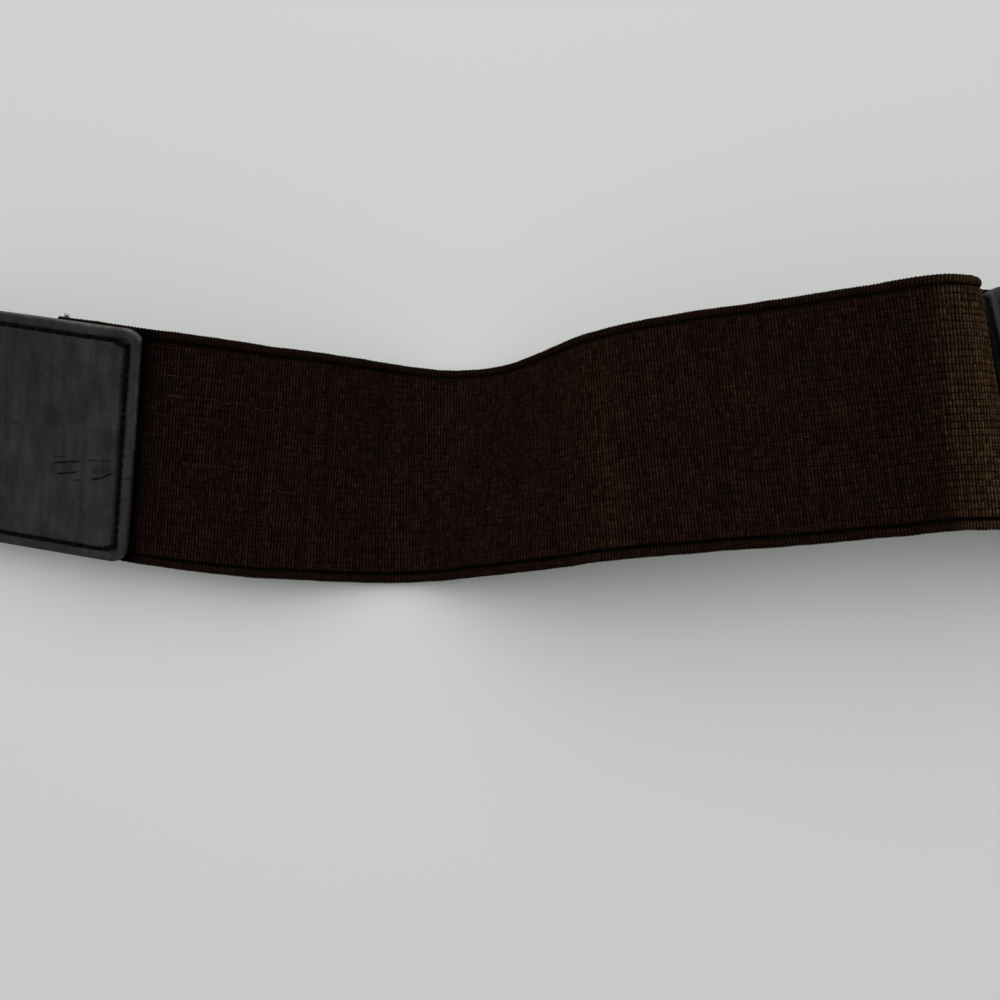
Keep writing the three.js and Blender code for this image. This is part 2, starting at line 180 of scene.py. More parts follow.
class BeltLine:
    """A uniform cubic B-spline through the places, read by length along it."""

    SAMPLES = 8001

    def __init__(self, places):
        spans = len(places) - 3
        t = np.linspace(0, spans, self.SAMPLES)
        span = np.minimum(t.astype(int), spans - 1)
        f = t - span
        weights = ((1 - f) ** 3, 3 * f ** 3 - 6 * f ** 2 + 4, -3 * f ** 3 + 3 * f ** 2 + 3 * f + 1, f ** 3)
        values = sum(w[:, None] * places[span + i] for i, w in enumerate(weights)) / 6
        self.points = values[:, :3]
        self.leans = values[:, 3]
        steps = np.linalg.norm(np.diff(self.points, axis=0), axis=1)
        self.lengths = np.concatenate([[0], np.cumsum(steps)])
        self.length = self.lengths[-1]
        self.tangents = unit(np.gradient(self.points, self.lengths, axis=0))

    def length_at_x(self, x):
        return float(np.interp(x, self.points[:, 0], self.lengths))

    def frames(self, length):
        """Origin, across and up at lengths along the line. Past its ends the belt is straight."""
        inside = np.clip(length, 0, self.length)
        along = unit(columns(inside, self.lengths, self.tangents))
        lean = np.interp(inside, self.lengths, self.leans)[:, None]
        level = unit(np.cross(UP, along))
        across = level * np.cos(lean) + np.cross(along, level) * np.sin(lean)
        up = np.cross(along, across)
        origin = columns(inside, self.lengths, self.points) + along * (length - inside)[:, None]
        return origin, across, up


def unit(vectors):
    return vectors / np.linalg.norm(vectors, axis=-1, keepdims=True)


def columns(x, xs, table):
    return np.stack([np.interp(x, xs, table[:, i]) for i in range(table.shape[1])], axis=1)


line = BeltLine(belt_places())
left_edge = line.length_at_x(0)
right_edge = line.length_at_x(ELASTIC_RUN)


def belt_shift():
    """From the line's own frame to the row frame: both hold the elastic panel's middle."""
    lengths = np.linspace(left_edge - SEWN_OVERLAP, right_edge + SEWN_OVERLAP, 400)
    origin, across, up = line.frames(lengths)
    half = ELASTIC_WIDTH / 2
    corners = np.concatenate([origin + side * half * across - ELASTIC_THICKNESS / 2 * up for side in (-1, 1)])
    low, high = (np.array(corner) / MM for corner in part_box("elastic_panel"))
    shift = (low + high) / 2 - (corners.min(0) + corners.max(0)) / 2
    shift[2] = 0
    return shift


SHIFT = belt_shift()


# Camera, floor and light

def to_world(point):
    return (np.asarray(point, float) + SHIFT) * MM


def add_camera():
    camera = bpy.data.objects.new("camera", bpy.data.cameras.new("camera"))
    bpy.context.scene.collection.objects.link(camera)
    back = np.array([0, -math.sin(CAMERA_TILT), math.cos(CAMERA_TILT)]) * CAMERA_DISTANCE
    camera.location = to_world(np.array(CAMERA_AIM) + back)
    camera.rotation_euler = (CAMERA_TILT, 0, 0)
    camera.data.sensor_width = SENSOR
    camera.data.lens = SENSOR * FOCAL_SHARE
    camera.data.clip_start = 0.01
    bpy.context.scene.camera = camera


def add_light(name, kind, location, energy, **settings):
    light = bpy.data.lights.new(name, kind)
    light.energy = energy
    for key, value in settings.items():
        setattr(light, key, value)
    lamp = bpy.data.objects.new(name, light)
    bpy.context.scene.collection.objects.link(lamp)
    lamp.location = location
    x, y, z = location
    lamp.rotation_euler = (math.atan2(math.hypot(x, y), z), 0, math.atan2(x, -y))
    return lamp


def add_lights():
    scene = bpy.context.scene
    scene.view_settings.view_transform = "Standard"
    scene.world = bpy.data.worlds.new("room")
    scene.world.use_nodes = True
    background = scene.world.node_tree.nodes["Background"]
    background.inputs["Color"].default_value = (0.96, 0.98, 0.97, 1)
    background.inputs["Strength"].default_value = 0.40
    add_light("window", "AREA", (0.0, 0.90, 0.85), 3.7, shape="RECTANGLE", size=1.4, size_y=0.8)
    add_light("ceiling", "AREA", (0.0, 0.16, 1.28), 7.2, shape="RECTANGLE", size=1.3, size_y=1.0)


def add_floor():
    side = 6.0
    mesh = bpy.data.meshes.new("floor")
    corners = [(-side, -side, 0), (side, -side, 0), (side, side, 0), (-side, side, 0)]
    mesh.from_pydata(corners, [], [(0, 1, 2, 3)])
    floor = bpy.data.objects.new("floor", mesh)
    bpy.context.scene.collection.objects.link(floor)
    material = bpy.data.materials.new("floor")
    material.use_nodes = True
    surface = material.node_tree.nodes["Principled BSDF"]
    surface.inputs["Base Color"].default_value = (0.70, 0.715, 0.70, 1)
    surface.inputs["Roughness"].default_value = 0.6
    mesh.materials.append(material)


# Materials

# Creases of the sewn tab, drawn as painted shade and bump: along from its end, across, length, direction in degrees,
# strength of painted shade and dent, half width
CREASES = [
    (13.5, -4.4, 6.0, -13, 1.0, 0.38),
    (13.4, -6.7, 5.0, -13.5, 1.0, 0.38),
    (15.1, -3.5, 2.9, -14, 0.7, 0.32),
    (11.5, -7.9, 2.3, -15, 0.65, 0.30),
    (13.0, -5.6, 2.6, -10, 0.6, 0.30),
    (15.3, -8.5, 1.2, 33, 0.6, 0.28),
    (16.4, -5.4, 1.8, -50, 0.45, 0.55),
    (8.0, -3.2, 1.7, -14, 0.85, 0.30),
    (5.5, -2.9, 2.1, -7, 0.85, 0.30),
    (5.5, -3.7, 1.4, -7, 0.7, 0.28),
    (5.3, -4.8, 1.7, 12, 0.6, 0.75),
    (7.5, -5.6, 1.2, -12, 0.8, 0.32),
    (7.1, -7.0, 2.2, -16, 1.0, 0.42),
    (5.0, -6.0, 2.7, -32, 1.0, 0.36),
    (14.2, -5.6, 6.0, -13, 0.22, 2.6),
    (6.4, -5.0, 3.6, -14, 0.32, 2.2),
    (16.9, -16.0, 1.2, -20, 0.6, 0.30),
    (26.0, 1.9, 2.4, -12, 0.5, 0.30),
    (1.1, -6.1, 2.2, -4, 0.9, 0.20),
    (1.8, -10.7, 1.6, -10, 0.6, 0.20),
]


def add_node(tree, kind, inputs=None, **settings):
    node = tree.nodes.new(kind)
    for key, value in settings.items():
        setattr(node, key, value)
    for key, value in (inputs or {}).items():
        if isinstance(value, bpy.types.NodeSocket):
            tree.links.new(value, node.inputs[key])
        else:
            node.inputs[key].default_value = value
    return node


class Look:
    """A Principled material with short calls for the nodes that feed it."""

    def __init__(self, name, roughness, metallic=0.0, specular=0.5, sheen=0.0):
        self.material = bpy.data.materials.new(name)
        self.material.use_nodes = True
        self.tree = self.material.node_tree
        self.surface = self.tree.nodes["Principled BSDF"]
        self.surface.inputs["Roughness"].default_value = roughness
        self.surface.inputs["Metallic"].default_value = metallic
        self.surface.inputs["Specular IOR Level"].default_value = specular
        self.surface.inputs["Sheen Weight"].default_value = sheen

    def attribute(self, name):
        """Three numbers that the mesh holds at each of its points."""
        source = add_node(self.tree, "ShaderNodeAttribute", attribute_name=name)
        parts = add_node(self.tree, "ShaderNodeSeparateXYZ", {0: source.outputs["Vector"]})
        return source.outputs["Vector"], parts.outputs[0], parts.outputs[1], parts.outputs[2]

    def stretch(self, vector, scale):
        return add_node(self.tree, "ShaderNodeVectorMath", {0: vector, 1: scale}, operation="MULTIPLY").outputs[0]

    def noise(self, vector, scale, detail=3.0, roughness=0.55):
        inputs = {"Vector": vector, "Scale": scale, "Detail": detail, "Roughness": roughness}
        return add_node(self.tree, "ShaderNodeTexNoise", inputs).outputs[0]

    def cells(self, vector, scale):
        inputs = {"Vector": vector, "Scale": scale}
        return add_node(self.tree, "ShaderNodeTexVoronoi", inputs, feature="DISTANCE_TO_EDGE").outputs[0]

    def remap(self, value, low, high, to_low=0.0, to_high=1.0):
        inputs = {0: value, 1: low, 2: high, 3: to_low, 4: to_high}
        return add_node(self.tree, "ShaderNodeMapRange", inputs).outputs[0]

    def math(self, operation, a, b):
        return add_node(self.tree, "ShaderNodeMath", {0: a, 1: b}, operation=operation).outputs[0]

    def mix(self, factor, a, b):
        node = add_node(self.tree, "ShaderNodeMix", data_type="RGBA")
        for socket, value in ((node.inputs[0], factor), (node.inputs[6], a), (node.inputs[7], b)):
            if isinstance(value, bpy.types.NodeSocket):
                self.tree.links.new(value, socket)
            else:
                socket.default_value = (*value, 1) if isinstance(value, tuple) else value
        return node.outputs[2]

    def brighten(self, colour, value):
        """The colour times a number."""
        node = add_node(self.tree, "ShaderNodeVectorMath", {0: colour}, operation="SCALE")
        self.tree.links.new(value, node.inputs["Scale"])
        return node.outputs[0]

    def creases(self, flat, bend):
        """Thin strokes of painted shade on the flat leather, each fading out at its ends and edges."""
        total = None
        for along, side, length, degrees, deep, width in CREASES:
            c, s = math.cos(math.radians(degrees)), math.sin(math.radians(degrees))
            x = add_node(self.tree, "ShaderNodeVectorMath", {0: flat, 1: (c, s, 0)}, operation="DOT_PRODUCT")
            y = add_node(self.tree, "ShaderNodeVectorMath", {0: flat, 1: (-s, c, 0)}, operation="DOT_PRODUCT")
            x = self.math("ABSOLUTE", self.math("SUBTRACT", x.outputs["Value"], along * c + side * s), 0.0)
            y = self.math("SUBTRACT", y.outputs["Value"], -along * s + side * c)
            y = self.math("ABSOLUTE", self.math("ADD", y, self.remap(bend, 0.3, 0.7, -0.12, 0.12)), 0.0)
            stroke = self.math("MULTIPLY", self.remap(y, 0.0, width, deep, 0.0),
                               self.remap(x, length / 2 - 0.5, length / 2 + 0.4, 1.0, 0.0))
            total = stroke if total is None else self.math("MAXIMUM", total, stroke)
        return total

    def finish(self, colour, bump=None, distance=0.0001, strength=1.0, roughness=None):
        self.tree.links.new(colour, self.surface.inputs["Base Color"])
        if roughness is not None:
            self.tree.links.new(roughness, self.surface.inputs["Roughness"])
        if bump is not None:
            inputs = {"Height": bump, "Distance": distance, "Strength": strength}
            node = add_node(self.tree, "ShaderNodeBump", inputs)
            self.tree.links.new(node.outputs[0], self.surface.inputs["Normal"])
        return self.material


def elastic_material():
    """Dark brown covered yarn: lighter on the ribs' crowns, with painted shade that makes it nearly black between them.
    """
    look = Look("elastic_weave", roughness=0.85, specular=0.03)
    flat, _, _, _ = look.attribute("flat")
    _, relief, tone, open_ribs_and_highlight = look.attribute("cloth")
    blotch = look.remap(look.noise(flat, 0.10), 0.38, 0.64)
    crown = look.mix(blotch, (0.0158, 0.0054, 0.0037), (0.0150, 0.0069, 0.0035))
    # Painted highlight: the crowns turn golden brown where the belt bends down over its humps, where the ribs also
    # open.
    crown = look.mix(open_ribs_and_highlight, crown, (0.046, 0.0245, 0.0110))
    # Painted shade: where the relief is low, in the valleys between ribs and yarns and in the selvedge grooves, the
    # colour goes nearly black.
    colour = look.mix(look.remap(relief, 0.15, 1.0), (0.0014, 0.0005, 0.0004), crown)
    fibre = look.noise(look.stretch(flat, (3.2, 3.0, 1.0)), 1.0, detail=4)
    streak = look.noise(look.stretch(flat, (0.28, 2.1, 1.0)), 1.0, detail=3)
    lights = look.math("MULTIPLY", look.remap(fibre, 0.36, 0.64, 0.35, 1.8), look.remap(streak, 0.36, 0.64, 0.68, 1.45))
    # The tone channel holds each yarn's random tone times the painted shadow beside the left tab.
    lights = look.math("MULTIPLY", lights, tone)
    return look.finish(look.brighten(colour, lights), bump=fibre, distance=0.00004, strength=0.5)


def leather_material(name, base, margin):
    """Worn grained leather: mottled and smeared, paler along its margin and raw edges, with painted shade in the left
    tab's creases and a painted highlight along the far edge.
    """
    look = Look(name, roughness=0.62, specular=0.2)
    flat, _, _, height = look.attribute("flat")
    _, border, painted_shade, raw_edge_and_highlight = look.attribute("skin")
    mottle = look.noise(flat, 0.13, detail=6, roughness=0.62)
    smear = look.noise(look.stretch(flat, (0.55, 0.13, 1.0)), 1.0, detail=6, roughness=0.65)
    fine = look.noise(flat, 3.2, detail=5, roughness=0.7)
    grain = look.cells(flat, 2.4)
    speck = look.remap(look.noise(flat, 4.6, detail=2), 0.70, 0.76)
    colour = look.mix(border, base, margin)
    colour = look.mix(look.math("MULTIPLY", speck, 0.45), colour, (0.040, 0.039, 0.036))
    colour = look.mix(raw_edge_and_highlight, colour, (0.085, 0.084, 0.078))
    lights = look.math("MULTIPLY", look.remap(mottle, 0.38, 0.62, 0.66, 1.36), look.remap(fine, 0.38, 0.62, 0.72, 1.3))
    lights = look.math("MULTIPLY", lights, look.remap(smear, 0.38, 0.62, 0.64, 1.40))
    # Painted shade lowers the colour's light here and its reflection below.
    lights = look.math("MULTIPLY", lights, look.remap(painted_shade, 0, 1, 1.0, 0.06))
    # Painted shade in the creases, which also dents the bump.
    crease = look.math("MULTIPLY", look.creases(flat, fine), look.remap(height, 1.0, 1.5))
    lights = look.math("MULTIPLY", lights, look.remap(crease, 0, 1, 1.0, 0.12))
    relief = look.math("ADD", look.remap(grain, 0.0, 0.25), fine)
    relief = look.math("SUBTRACT", relief, look.math("MULTIPLY", crease, 4.0))
    roughness = look.remap(mottle, 0.3, 0.8, 0.56, 0.72)
    look.tree.links.new(look.remap(look.math("MAXIMUM", painted_shade, crease), 0.1, 0.9, 0.22, 0.0),
                        look.surface.inputs["Specular IOR Level"])
    return look.finish(look.brighten(colour, lights), bump=relief, distance=0.00006, strength=0.6,
                       roughness=roughness)


def thread_material(name, colour, paler):
    """Twisted sewing thread."""
    look = Look(name, roughness=0.8, specular=0.06)
    flat, _, _, _ = look.attribute("flat")
    twist = look.noise(look.stretch(flat, (4.0, 1.0, 1.0)), 1.5, detail=2)
    return look.finish(look.mix(look.remap(twist, 0.4, 0.65), colour, paler), bump=twist,
                       distance=0.00004, strength=0.8)


def steel_material():
    look = Look("satin_steel", roughness=0.34, metallic=1.0)
    coordinates = add_node(look.tree, "ShaderNodeTexCoord").outputs["Object"]
    brushed = look.noise(look.stretch(coordinates, (90.0, 2600.0, 2600.0)), 1.0, detail=3)
    worn = look.noise(coordinates, 160.0, detail=4)
    colour = look.mix(look.remap(worn, 0.35, 0.7), (0.42, 0.42, 0.43), (0.53, 0.53, 0.53))
    return look.finish(colour, bump=brushed, distance=0.00001, strength=0.35,
                       roughness=look.remap(brushed, 0.3, 0.7, 0.26, 0.42))


# Meshes

def add_piece(name, points, faces, material, slot, stands_for=None, **attributes):
    """A smooth mesh piece from points in millimetres and faces of three or four corners."""
    mesh = bpy.data.meshes.new(name)
    sizes = np.concatenate([np.full(len(block), block.shape[1]) for block in faces])
    corners = np.concatenate([block.ravel() for block in faces])
    mesh.vertices.add(len(points))
    mesh.vertices.foreach_set("co", to_world(points).astype(np.float32).ravel())
    mesh.loops.add(len(corners))
    mesh.loops.foreach_set("vertex_index", corners.astype(np.int32))
    mesh.polygons.add(len(sizes))
    starts = np.concatenate([[0], np.cumsum(sizes)[:-1]])
    mesh.polygons.foreach_set("loop_start", starts.astype(np.int32))
    for key, values in attributes.items():
        layer = mesh.attributes.new(key, "FLOAT_VECTOR", "POINT")
        layer.data.foreach_set("vector", np.asarray(values, np.float32).ravel())
    mesh.update(calc_edges=True)
    mesh.validate()
    mesh.shade_smooth()
    mesh.polygons.foreach_set("use_smooth", sizes <= 4)
    mesh.materials.append(material)
    piece = bpy.data.objects.new(name, mesh)
    bpy.context.scene.collection.objects.link(piece)
    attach(piece, "root")
    if stands_for:
        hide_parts(stands_for)
    return piece


def grid_faces(rows, cols, closed=False, offset=0):
    """Quads of a grid whose points are numbered row by row. Closed joins its last column to its first."""
    row = np.arange(rows - 1)[:, None] * cols
    col = np.arange(cols if closed else cols - 1)[None, :]
    after = (col + 1) % cols
    quads = np.stack([row + col, row + after, row + cols + after, row + cols + col], axis=-1)
    return quads.reshape(-1, 4) + offset


def wobble(x, longest, seed, waves=4):
    """A smooth, seeded wandering between about -1 and 1."""
    source = np.random.default_rng(seed)
    total = np.zeros_like(np.asarray(x, float))
    for i in range(waves):
        total += np.sin(2 * np.pi * (x / longest * 1.7 ** i + source.random())) / 1.5 ** i
    return total / 2


# Elastic panel

def elastic_columns():
    """The panel's section, once round: across, up, push across, push up, relief and yarn.
    The push says where a rib's crown stands out to, and a yarn's number varies its ribs."""
    half = ELASTIC_WIDTH / 2
    inner = half - SELVEDGE_WIDTH - GROOVE_WIDTH
    yarns = round(2 * inner / YARN_PITCH)
    width = 2 * inner / yarns
    rows = []
    shares = ((0.0, -0.08, 0.12, 0.55), (0.2, -0.01, 0.22, 0.92), (0.5, 0.03, 0.26, 1.0), (0.8, -0.01, 0.22, 0.92))
    for yarn in range(yarns):
        for share, level, push, relief in shares:
            rows.append((-inner + (yarn + share) * width, level, 0, push, relief, yarn))
    rows.append((inner - 0.12, -0.16, 0, 0.05, 0.3, yarns))
    face = rows
    cord_middle = (half - SELVEDGE_WIDTH / 2, -ELASTIC_THICKNESS / 2)
    cord_half = (SELVEDGE_WIDTH / 2 + 0.02, ELASTIC_THICKNESS / 2 + 0.06)
    cord = []
    for degrees in range(160, -161, -32):
        c, s = math.cos(math.radians(degrees)), math.sin(math.radians(degrees))
        cord.append((cord_middle[0] + cord_half[0] * c, cord_middle[1] + cord_half[1] * s,
                     0.2 * c, 0.2 * s, 1.0 if abs(degrees) < 150 else 0.2, yarns + 1))
    thin_yarn = (inner + 0.05, 0.0, 0, 0.10, 1.25, yarns + 2)
    groove_wall = (inner + 0.22, -0.22, 0, 0.03, 0.05, yarns + 1)
    groove_top = (inner + GROOVE_WIDTH * 0.68, -0.60, 0, 0.02, 0.0, yarns + 1)
    groove_back = (inner + GROOVE_WIDTH * 0.55, -ELASTIC_THICKNESS + 0.35, 0, -0.03, 0.0, yarns + 1)
    far = [thin_yarn, groove_wall, groove_top, *cord, groove_back]
    near = [(-a, u, -pa, pu, relief, yarns + 3 if relief > 1.2 else -1)
            for a, u, pa, pu, relief, _ in reversed(far)]
    back = [(a, -ELASTIC_THICKNESS, 0, -0.12, 0.7 if i % 2 else 0.3, i)
            for i, a in enumerate(np.linspace(inner, -inner, yarns + 1))]
    return np.array(face + far + back + near)


def rib_profile(phase):
    return np.sin(np.pi * phase) ** 1.4


def outward_bend(length):
    """How sharply the belt's line turns downwards, as an angle per millimetre."""
    climb = np.arcsin(np.gradient(line.points[:, 2], line.lengths))
    return np.interp(length, line.lengths, -np.gradient(climb, line.lengths))


def make_elastic(material):
    """Ribs as real relief, in three lengths that meet in a rib's valley."""
    section = elastic_columns()
    start, stop = left_edge - SEWN_OVERLAP, right_edge + SEWN_OVERLAP
    ribs = round((stop - start) / RIB_PITCH)
    pitch = (stop - start) / ribs
    phases = np.array([0, 0.25, 0.5, 0.75])
    yarn = section[:, 5].astype(int) + 1
    upper = section[:, 1] > -0.7
    depth = rng.uniform(0.75, 1.1, (ribs + 1, yarn.max() + 1))
    crown = rng.uniform(-1, 1, (ribs + 1, yarn.max() + 1))
    slip = rng.uniform(-0.08, 0.08, (ribs + 1, yarn.max() + 1))
    tone = rng.uniform(0.62, 1.48, (ribs + 1, yarn.max() + 1)) * rng.uniform(0.85, 1.15, (ribs + 1, 1))
    for cord in (0, -3):
        tone[:, cord] = rng.uniform(0.72, 0.98, ribs + 1)
    groove = section[:, 4] == 0.55
    broken = rng.uniform(0.55, 1.6, (ribs + 1, len(section)))
    cuts = [round(ribs * share) for share in (0, 0.36, 0.66, 1)]
    for name, first, last in zip(("left", "middle", "right"), cuts, cuts[1:]):
        rib = np.append(np.repeat(np.arange(first, last), len(phases)), last)
        phase = np.append(np.tile(phases, last - first), 0)
        rise = rib_profile(phase)[:, None]
        across = section[None, :, 0] + 0 * rise
        length = start + (rib + phase)[:, None] * pitch + 0 * across
        amount = (rise - 1) * depth[rib][:, yarn] + 0.14 * rise * crown[rib][:, yarn]
        length = length + 0.07 * wobble(across + 0.013 * length, 31, 3) + rise * slip[rib][:, yarn]
        across = across + section[:, 2] * amount + 0.09 * wobble(length, 23, 5)
        up = section[:, 1] + section[:, 3] * amount
        # Beyond about 135 mm from the left tab the grooves between yarns take deeper painted shade.
        waffle = np.clip((length - left_edge - 135) / 35, 0, 1)
        part = np.where(groove, np.clip(broken[rib] * (0.72 - 0.34 * waffle), 0, 1), section[:, 4])
        relief = part * (0.04 + 0.96 * rise) + 0 * across
        origin, sideways, normal = line.frames(length.ravel())
        points = origin + sideways * across.reshape(-1, 1) + normal * up.reshape(-1, 1)
        rows, cols = length.shape
        # Painted highlight on the belt's outward bends, where the ribs also open.
        open_ribs_and_highlight = np.clip((outward_bend(length) - 0.012) / 0.06, 0, 1) * upper
        # Painted shadow on the upper face beside the left tab's edge, carried in the tone channel.
        beside_tab = np.clip(length - left_edge - across * math.tan(LEFT_EDGE_SKEW), 0, None)
        shade = 1 - 0.85 * np.exp(-(beside_tab / 2.3) ** 1.6) * (upper & (length > left_edge - 2))
        cloth = np.stack([relief, tone[rib][:, yarn] * shade, open_ribs_and_highlight], axis=-1)
        flat = np.stack([length, section[None, :, 0] + 0 * length, up], axis=-1)
        body = grid_faces(rows, cols, closed=True)
        ring = np.arange(cols)[None, :]
        caps = [ring[:, ::-1], ring + (rows - 1) * cols]
        add_piece(f"elastic_panel_{name}", points, [body, *caps], material, "elastic",
                  "elastic_panel", cloth=cloth, flat=flat)


# Pale broken threads of the weave: distance from the left tab, across, length
LOOSE_THREADS = [
    (10.0, 16.1, 10),
    (7.0, 11.8, 3.7),
    (12.3, 12.1, 4),
    (16.9, 11.7, 5),
    (4.0, 7.7, 1.4),
    (24.7, 11.1, 3.9),
    (9.6, 4.5, 1.3),
    (11.6, 0.7, 4),
    (6.9, -7.0, 1.8),
    (8.2, -11.1, 3.7),
    (15.0, -2.0, 12),
    (29.0, -6.0, 6),
]
# Tufts: distance from the left tab, across, height, fibres
TUFTS = [(-16.0, 25.0, -0.7, 26), (77.5, -10.0, 0.05, 12), (172.8, 18.5, 0.05, 6)]


def loose_fibre(length, across, height, radius):
    """A thin closed tube over the elastic."""
    origin, sideways, normal = line.frames(left_edge + length)
    path = origin + sideways * across[:, None] + normal * height[:, None]
    points, faces = sweep(path, normal, rounded_section(2 * radius, 2 * radius, 2.0, 5))
    return points, faces, points * 3


def add_loose_threads(material):
    source = np.random.default_rng(31)
    parts = []
    share = np.linspace(0, 1, 6)
    for start, across, length in LOOSE_THREADS:
        at = start - length / 2
        while at < start + length / 2:
            reach = source.uniform(0.5, 1.9)
            places = at + share * reach
            side = across + 0.16 * wobble(places, 7, round(10 * start))
            height = 0.02 + source.uniform(0.03, 0.12) * np.sin(share * math.pi)
            parts.append(loose_fibre(places, side, height, source.uniform(0.03, 0.055)))
            at += reach + source.uniform(0.1, 0.8)
    for along, across, height, count in TUFTS:
        for _ in range(count):
            heading, reach = source.uniform(0, 2 * math.pi), source.uniform(0.3, 0.8)
            turn = heading + share * source.uniform(-2, 2)
            places = along + source.normal(0, 0.15) + share * reach * np.cos(turn)
            side = across + source.normal(0, 0.15) + share * reach * np.sin(turn)
            rise = height + share * source.uniform(0, 0.5)
            parts.append(loose_fibre(places, side, rise, 0.035))
    points, faces, flats = join_tubes(parts)
    add_piece("loose_threads", points, faces, material, "elastic", flat=flats)


# Leather arms

class Strip:
    """The underside of a leather arm, read by distance from its sewn end."""

    def __init__(self, distances, origins, across, up, skew=0.0):
        self.distances = distances
        self.table = np.hstack([origins, across, up])
        self.skew = skew

    def place(self, distance, across, height):
        """Points of the row frame's line at flat positions on the strip."""
        shape = np.shape(distance)
        distance, across, height = (np.ravel(np.broadcast_to(x, shape)) for x in (distance, across, height))
        skewed = distance - across * math.tan(self.skew) * np.clip(1 - distance / SKEW_FADE, 0, 1)
        low, high = self.distances[0], self.distances[-1]
        inside = np.clip(skewed, low, high)
        values = columns(inside, self.distances, self.table)
        origin, sideways, normal = values[:, :3], unit(values[:, 3:6]), unit(values[:, 6:])
        return (origin + sideways * across[:, None] + normal * height[:, None]).reshape(*shape, 3)


FOLD_RADIUS = BAR_DIAMETER / 2 + BAR_CLEARANCE + LEATHER_THICKNESS / 2
BAR_HEIGHT = FOLD_RADIUS + LEATHER_THICKNESS / 2


def fold_profile():
    """The left arm's far end in its upright plane: run, height of the leather's middle, slope."""
    table, second = LEATHER_THICKNESS / 2, LEATHER_THICKNESS * 1.5 + SEAM_GAP
    return_end = LEFT_FLAT_RUN - FOLD_RETURN
    flat = np.arange(0, return_end - SEAM_GAP - FOLD_RISE_RUN, 0.5)
    rows = [(run, table, 0) for run in flat]

    def climb(to_run, low, high):
        for share in np.linspace(0, 1, 33):
            height = low + (high - low) * (1 - math.cos(share * math.pi)) / 2
            slope = math.atan((high - low) * math.pi / 2 * math.sin(share * math.pi) / FOLD_RISE_RUN)
            rows.append((to_run - FOLD_RISE_RUN * (1 - share), height, slope))

    climb(return_end - SEAM_GAP, table, second)
    rows.extend((run, second, 0) for run in np.arange(return_end, LEFT_FLAT_RUN - FOLD_RISE_RUN, 0.5))
    climb(LEFT_FLAT_RUN, second, BAR_HEIGHT + FOLD_RADIUS)
    for turn in np.linspace(0, math.pi, 33)[1:]:
        rows.append((LEFT_FLAT_RUN + FOLD_RADIUS * math.sin(turn), BAR_HEIGHT + FOLD_RADIUS * math.cos(turn), -turn))
    rows.extend((run, table, -math.pi) for run in np.arange(LEFT_FLAT_RUN - 0.5, return_end - 0.01, -0.5))
    return np.array(rows)


def table_end():
    """The left end of the line on the table: point, outwards and across."""
    origin, across, up = (row[0] for row in line.frames(np.array([0.0])))
    origin[2] = 0
    return origin, np.cross(up, -across) * -1, across


def left_strip():
    on_line = np.arange(0, left_edge, 0.5)
    origin, across, up = line.frames(left_edge - on_line)
    origin = origin + up * SEAM_GAP
    start, outwards, sideways = table_end()
    run, height, slope = fold_profile().T
    direction = outwards * np.cos(slope)[:, None] + UP * np.sin(slope)[:, None]
    normal = np.cross(-direction, sideways)
    middle = start + outwards * run[:, None] + UP * height[:, None]
    travelled = np.concatenate([[0], np.cumsum(np.linalg.norm(np.diff(middle, axis=0), axis=1))])
    folded = middle - normal * LEATHER_THICKNESS / 2
    distances = np.concatenate([on_line, left_edge + travelled])
    strip = Strip(distances, np.vstack([origin, folded]), np.vstack([across, 0 * middle + sideways]),
                  np.vstack([up, normal]), LEFT_EDGE_SKEW)
    strip.at_run = lambda value: left_edge + float(np.interp(value, run[:np.argmax(run)], travelled[:np.argmax(run)]))
    return strip


def right_strip():
    distances = np.arange(0, line.length + RIGHT_FLAT_RUN - right_edge + 0.5, 0.5)
    distances[-1] = line.length + RIGHT_FLAT_RUN - right_edge
    origin, across, up = line.frames(right_edge + distances)
    return Strip(distances, origin + up * SEAM_GAP, across, up)


def rounded_end(distance, radius=CORNER_RADIUS):
    """Half width of the leather near an end with rounded corners."""
    inside = np.clip(radius - distance, 0, radius)
    return LEATHER_WIDTH / 2 - (radius - np.sqrt(radius ** 2 - inside ** 2))


def tip_half_width(distance):
    share = np.clip(distance / TIP_LENGTH, 0, 1)
    return TIP_FLAT / 2 + (LEATHER_WIDTH - TIP_FLAT) / 2 * np.sin(share * math.pi / 2)


def distance_to_outline(at, outline):
    """How far flat points lie from a closed outline of flat points."""
    a, b = outline, np.roll(outline, -1, axis=0)
    side = b - a
    size = np.maximum((side ** 2).sum(1), 1e-12)
    found = np.empty(len(at))
    for first in range(0, len(at), 4000):
        block = at[first:first + 4000, None, :]
        share = np.clip(((block - a) * side).sum(-1) / size, 0, 1)
        found[first:first + 4000] = np.linalg.norm(block - a - share[..., None] * side, axis=-1).min(1)
    return found


EDGE_ROUNDING = 0.55
EDGE_STEPS = [0, 0.05, 0.16, 0.32, 0.55, 1.0, 1.5, 1.95, 2.2, 2.4, 2.6, 2.8, 3.05, 3.5, 4.2, 5.2]
INNER_COLUMNS = 42


def column_places(half_width):
    """Across positions of the grid's columns for each row's half width."""
    edge = half_width[:, None] - np.array(EDGE_STEPS)[None, :]
    inner = np.linspace(-1, 1, INNER_COLUMNS + 2)[1:-1]
    middle = (half_width[:, None] - EDGE_STEPS[-1]) * inner[None, :]
    return np.hstack([-edge, middle, edge[:, ::-1]])


def rounding(distance, radius):
    inside = np.clip(radius - distance, 0, radius)
    return radius - np.sqrt(radius ** 2 - inside ** 2)


